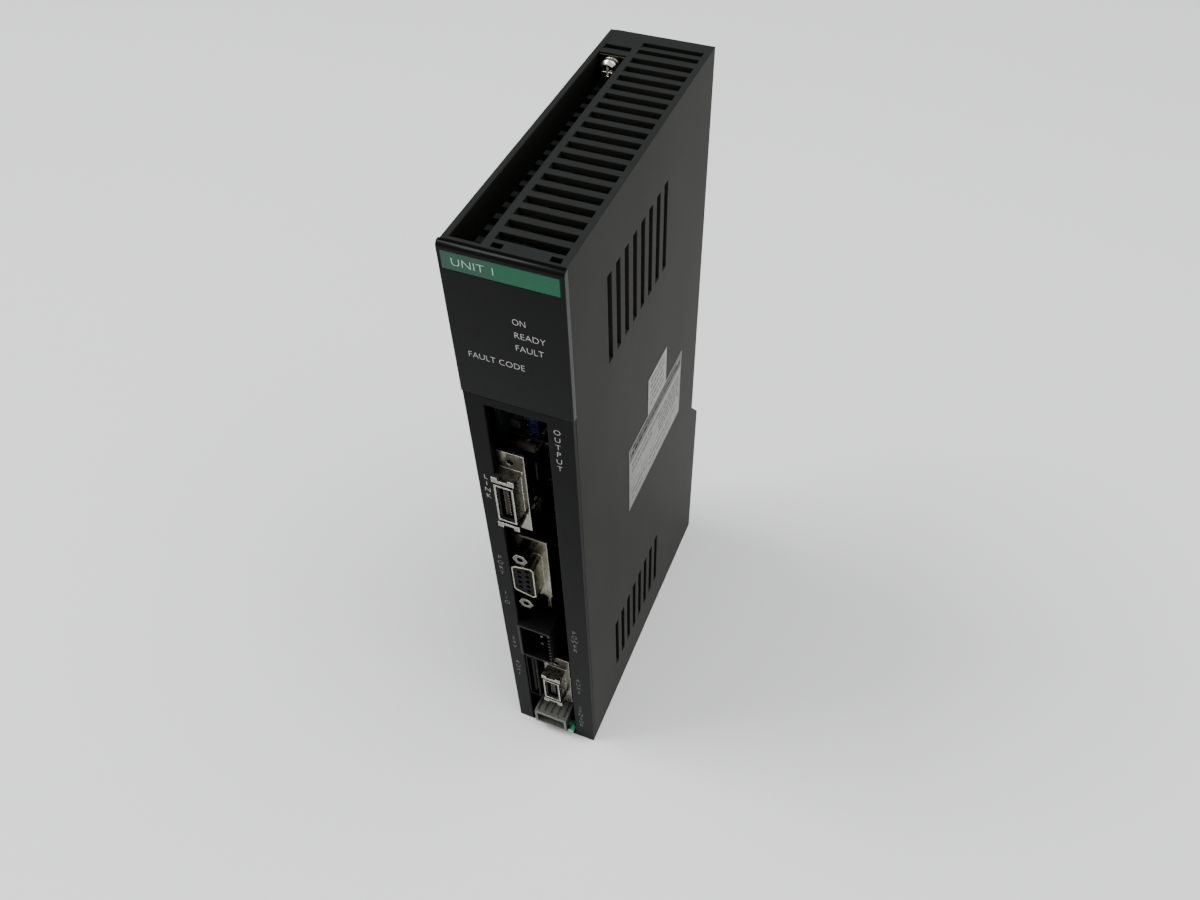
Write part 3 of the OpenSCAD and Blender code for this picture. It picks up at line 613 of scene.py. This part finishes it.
# Text, middle of the column, top of the first letter in millimetres, and ink
LEFT_COLUMN, RIGHT_COLUMN = 2.7, 26.8
BASELINE_DROP = 2.1  # from the top of the first letter to its foot
PORT_CAPTIONS = [
    ("OUTPUT", RIGHT_COLUMN, 179.5, PRINT),
    ("POWER", RIGHT_COLUMN, 79.5, FAINT_PRINT),
    ("AUX2", RIGHT_COLUMN, 46.5, FAINT_PRINT),
    ("SENSOR", RIGHT_COLUMN, 25.5, FAINT_PRINT),
    ("LINK", LEFT_COLUMN, 151.0, PRINT),
    ("PORT", LEFT_COLUMN, 111.0, FAINT_PRINT),
    ("I/O", LEFT_COLUMN, 90.5, FAINT_PRINT),
    ("24V", LEFT_COLUMN, 61.5, FAINT_PRINT),
    ("AUX1", LEFT_COLUMN, 44.5, FAINT_PRINT),
]
for text, x, top, material in PORT_CAPTIONS:
    name = "port_" + text.lower().replace("/", "")
    place = at(x, -PROUD, top - BASELINE_DROP)
    lettering(name, text, place, height=2.0, thin=0.06, material=material)

# ---------------------------------------------------------------- print on the side labels

_, LABEL_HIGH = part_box("rating_label")
LABEL_FACE = LABEL_HIGH.x
LABEL_FRONT, LABEL_BACK = 39.0, 87.8
RULE = 0.2  # width of a ruled line
FRAME_FOOT, FRAME_TOP = 100.9, 124.0
BAND_TOP = 130.6
EDGE_FOOT, EDGE_TOP = 123.6, 124.1
TABLE_RULE = 110.4  # foot of the line above the small table
DIVIDER_FRONT, DIVIDER_FOOT, DIVIDER_TOP = 54.9, 103.0, 110.0
DASH_LENGTHS = (0.7, 3.4)
DASH_GAPS = (0.45, 0.8)
LAST_GAP = 0.8  # a line of print may end this far before its end


def print_block(y0, y1, z0, z1):
    """Corners of one patch of print on the labels' face, from millimetres."""
    low, high = at(0, y0, z0), at(0, y1, z1)
    inner = Vector((LABEL_FACE - PRINT_DEPTH * MM, low.y, low.z))
    return inner, Vector((LABEL_FACE + PROUD * MM, high.y, high.z))


def dashes(y0, y1, z, height):
    """A line of print, as short dashes of uneven length."""
    blocks = []
    y = y0
    while y < y1 - LAST_GAP:
        length = min(rng.uniform(*DASH_LENGTHS), y1 - y)
        blocks.append(print_block(y, y + length, z - height / 2, z + height / 2))
        y += length + rng.uniform(*DASH_GAPS)
    return blocks


def print_lines(name, rows):
    """One piece of print. Each row is where a line starts, where it ends, its z and height."""
    block_piece(name, [block for row in rows for block in dashes(*row)], LABEL_PRINT)


block_piece(
    "label_band", [print_block(LABEL_FRONT, LABEL_BACK, FRAME_TOP, BAND_TOP)], BAND_PRINT,
)
outline = [
    print_block(LABEL_FRONT, LABEL_BACK, FRAME_FOOT, FRAME_FOOT + RULE),
    print_block(LABEL_FRONT, LABEL_FRONT + RULE, FRAME_FOOT, FRAME_TOP),
    print_block(LABEL_BACK - RULE, LABEL_BACK, FRAME_FOOT, FRAME_TOP),
    print_block(DIVIDER_FRONT, DIVIDER_FRONT + RULE, DIVIDER_FOOT, DIVIDER_TOP),
    print_block(LABEL_FRONT + RULE, LABEL_BACK - RULE, TABLE_RULE, TABLE_RULE + RULE),
]
block_piece("label_outline", outline, LABEL_PRINT)
heading = [(41, 66, 121.5, 1.3), (41, 60, 118.5, 1.3)]
table = [
    (41, 53, 107.5, 1.0), (57, 84, 107.5, 1.0), (57, 80, 104.5, 1.0), (41, 51, 104.5, 1.0),
]
paragraph = [(66, 86, 112.4 + 2.1 * row, 1.1) for row in range(5)]
print_lines("label_print", heading + table + paragraph)
block_piece(
    "label_edge", [print_block(LABEL_FRONT, LABEL_BACK, EDGE_FOOT, EDGE_TOP)], EDGE_PRINT,
)
print_lines("band_print", [(40, 87, 127.0, 1.2), (42, 84, 129.2, 0.8)])
print_lines("note_print", [(57.5, 70, 134.2 + 2.6 * row, 1.0) for row in range(5)])

# ---------------------------------------------------------------- small parts on the main board

_, BOARD_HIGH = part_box("main_board")
BOARD_FACE = BOARD_HIGH.x
FLAT_CHIPS = ("driver_chips", "memory_chips")
LARGE_PARTS = FLAT_CHIPS + (
    "processor_chip", "dc_converter", "heat_sink", "filter_capacitors", "crystal_can",
    "trimmer_bodies", "power_resistor",
)
BOARD_TRIES = 170
BOARD_DEPTHS, BOARD_HEIGHTS = (20, 98), (78, 182)
OPENING_TRIES = 34
OPENING_STRIPS, OPENING_HEIGHTS = ((17.5, 22.5), (34.5, 37)), (86, 134)
# A chip's body and ends, each as depth, height and how far it stands out, and how far the
# ends' middles lie from the body's
SMALL_CHIP = {"body": (1.25, 2.0, 0.75), "end": (1.35, 0.55, 0.8), "end_away": 1.25}
WIDE_CHIP = {"body": (1.5, 1.6, 0.9), "end": (1.6, 0.8, 1.0), "end_away": 1.1}


def part_boxes(node):
    """Bounding boxes of a node's separate solids."""
    bm = bmesh.new()
    bm.from_mesh(NODES[node].data)
    bmesh.ops.remove_doubles(bm, verts=bm.verts, dist=WELD_REACH)
    found = []
    left = set(bm.verts)
    for first in bm.verts:
        if first not in left:
            continue
        left.remove(first)
        island = [first]
        for vertex in island:
            for edge in vertex.link_edges:
                other = edge.other_vert(vertex)
                if other in left:
                    left.remove(other)
                    island.append(other)
        world = [NODES[node].matrix_world @ v.co for v in island]
        found.append((Vector(map(min, zip(*world))), Vector(map(max, zip(*world)))))
    bm.free()
    return found


node_boxes = {node: part_boxes(node) for node in LARGE_PARTS}


def clear_of_parts(y, z, reach=2.6):
    """True where no larger part stands on the main board. All are in millimetres."""
    place = at(0, y, z)
    for boxes in node_boxes.values():
        for low, high in boxes:
            inside_y = low.y - reach * MM < place.y < high.y + reach * MM
            inside_z = low.z - reach * MM < place.z < high.z + reach * MM
            if inside_y and inside_z:
                return False
    return True


def board_block(y, z, depth, height, out):
    """Corners of a block on the main board, from its middle and its size in millimetres."""
    middle = at(0, y, z)
    low = Vector((BOARD_FACE, middle.y - depth * MM / 2, middle.z - height * MM / 2))
    return low, low + Vector((out, depth, height)) * MM


ceramic_bodies, tan_bodies, ends = [], [], []


def place_chip(bodies, y, z, body, end, end_away):
    """Adds a chip's body to the given list and its two tinned ends to theirs."""
    bodies.append(board_block(y, z, *body))
    for side in (-1, 1):
        ends.append(board_block(y, z + side * end_away, *end))


for _ in range(BOARD_TRIES):
    y, z = rng.uniform(*BOARD_DEPTHS), rng.uniform(*BOARD_HEIGHTS)
    if clear_of_parts(y, z):
        bodies = rng.choice((ceramic_bodies, tan_bodies, tan_bodies))
        place_chip(bodies, y, z, **SMALL_CHIP)
for _ in range(OPENING_TRIES):
    y = rng.choice([rng.uniform(*strip) for strip in OPENING_STRIPS])
    z = rng.uniform(*OPENING_HEIGHTS)
    if clear_of_parts(y, z, reach=0.8):
        place_chip(ceramic_bodies, y, z, **WIDE_CHIP)
block_piece("chip_resistors", ceramic_bodies, BLACK, round_mm=0.1)
block_piece("chip_capacitors", tan_bodies, TAN, round_mm=0.15)
block_piece("chip_ends", ends, TINNED, round_mm=0.22)

# A small coil beside the trimmers
coil_middle = at(7.2, 13.3, 161.5)
coil_half = Vector((1.6, 1.3, 1.4)) * MM
block_piece("coil_block", [(coil_middle - coil_half, coil_middle + coil_half)], TAN, round_mm=0.3)

# The two parts of a flat chip's leg, the foot on the board and the upright to the chip. Each has
# its distance from the chip's side, how far it stands out, half its depth and half its height
LEG_PARTS = [(1.1, (0.15, 0.6, 0.22)), (0.4, (1.0, 0.35, 0.22))]


def leg_blocks(y, z, side):
    """Corners of one leg's parts. y is the chip's side, and side points away from the chip."""
    for away, size in LEG_PARTS:
        foot = Vector((BOARD_FACE, y + side * away * MM, z))
        corner = Vector(size) * MM
        yield foot - Vector((0, corner.y, corner.z)), foot + corner


legs = []
for node in FLAT_CHIPS:
    for low, high in node_boxes[node]:
        count = int((high.z - low.z) / (PIN_PITCH * MM))
        for i in range(count):
            z = (low.z + high.z) / 2 + (i - (count - 1) / 2) * PIN_PITCH * MM
            for y, side in ((low.y, -1), (high.y, 1)):
                legs.extend(leg_blocks(y, z, side))
block_piece("chip_legs", legs, TINNED, round_mm=0.05)

# ---------------------------------------------------------------- stage, light, camera

LIT_SIDE = (0.25, -0.75, 0.6)  # where the world is brightest
WORLD_DIM, WORLD_BRIGHT = (0.25, 0.27, 0.28, 1), (1.0, 1.0, 0.98, 1)
BRIGHT_FROM = 0.9
CAMERA_PLACE = (107.7, -154.6, 371.9)  # millimetres
AZIMUTH, ELEVATION, ROLL = 0.4194, 0.8567, -0.0368  # radians
SENSOR = 36  # millimetres
LENS_OVER_WIDTH = 0.84013


def add_floor():
    """A plain sheet of pale paper under the module."""
    bm = bmesh.new()
    bmesh.ops.create_grid(bm, x_segments=8, y_segments=8, size=4)
    mesh = bpy.data.meshes.new("floor")
    bm.to_mesh(mesh)
    bm.free()
    floor = bpy.data.objects.new("floor", mesh)
    link_to_scene(floor)
    m = Shader("floor_paper", (0.9, 0.91, 0.91), 0.6)
    cloud = m.noise(size_mm=400, detail=2)
    m.tint(m.mix(cloud, (0.88, 0.89, 0.89), (0.92, 0.93, 0.93)))
    m.bump(m.noise(size_mm=2, detail=3), depth_mm=0.01)
    mesh.materials.append(m.mat)
    floor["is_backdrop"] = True


def add_light(name, place, target, size, power):
    """A square area light that faces its target. Lengths are in metres."""
    data = bpy.data.lights.new(name, "AREA")
    data.size = size
    data.energy = power
    obj = bpy.data.objects.new(name, data)
    obj.location = place
    towards = Vector(target) - Vector(place)
    obj.rotation_euler = towards.to_track_quat("-Z", "Y").to_euler()
    link_to_scene(obj)


def add_world(strength):
    """A grey studio that is brighter in front of the module and above it."""
    world = bpy.data.worlds.new("studio")
    world.use_nodes = True
    tree = world.node_tree
    background = tree.nodes["Background"]
    background.inputs["Strength"].default_value = strength
    direction = tree.nodes.new("ShaderNodeTexCoord")
    facing = tree.nodes.new("ShaderNodeVectorMath")
    facing.operation = "DOT_PRODUCT"
    facing.inputs[1].default_value = LIT_SIDE
    tree.links.new(direction.outputs["Generated"], facing.inputs[0])
    ramp = tree.nodes.new("ShaderNodeValToRGB")
    tree.links.new(facing.outputs["Value"], ramp.inputs["Fac"])
    dim, bright = ramp.color_ramp.elements
    dim.position, dim.color = 0.0, WORLD_DIM
    bright.position, bright.color = BRIGHT_FROM, WORLD_BRIGHT
    tree.links.new(ramp.outputs["Color"], background.inputs["Color"])
    bpy.context.scene.world = world


def add_camera():
    """A hand-held view from the front right, well above the module, with a slight roll."""
    cam = bpy.data.cameras.new("camera")
    cam.sensor_width = SENSOR
    cam.lens = SENSOR * LENS_OVER_WIDTH
    cam.clip_start, cam.clip_end = 0.01, 20
    obj = bpy.data.objects.new("camera", cam)
    level = math.cos(ELEVATION)
    back = Vector((
        math.sin(AZIMUTH) * level, -math.cos(AZIMUTH) * level, math.sin(ELEVATION),
    ))
    right = Vector((math.cos(AZIMUTH), math.sin(AZIMUTH), 0))
    up = back.cross(right)
    turned_right = right * math.cos(ROLL) + up * math.sin(ROLL)
    turned_up = up * math.cos(ROLL) - right * math.sin(ROLL)
    basis = Matrix((turned_right, turned_up, back)).transposed().to_4x4()
    obj.matrix_world = Matrix.Translation(at(*CAMERA_PLACE)) @ basis
    link_to_scene(obj)
    bpy.context.scene.camera = obj


add_floor()
add_world(strength=0.9)
add_light("key", (0.8, 0.2, 1.8), (0, 0, 0.1), size=1.4, power=26)
add_light("left", (-1.0, -0.3, 1.6), (0, 0, 0.15), size=0.8, power=26)
add_camera()

low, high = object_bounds()
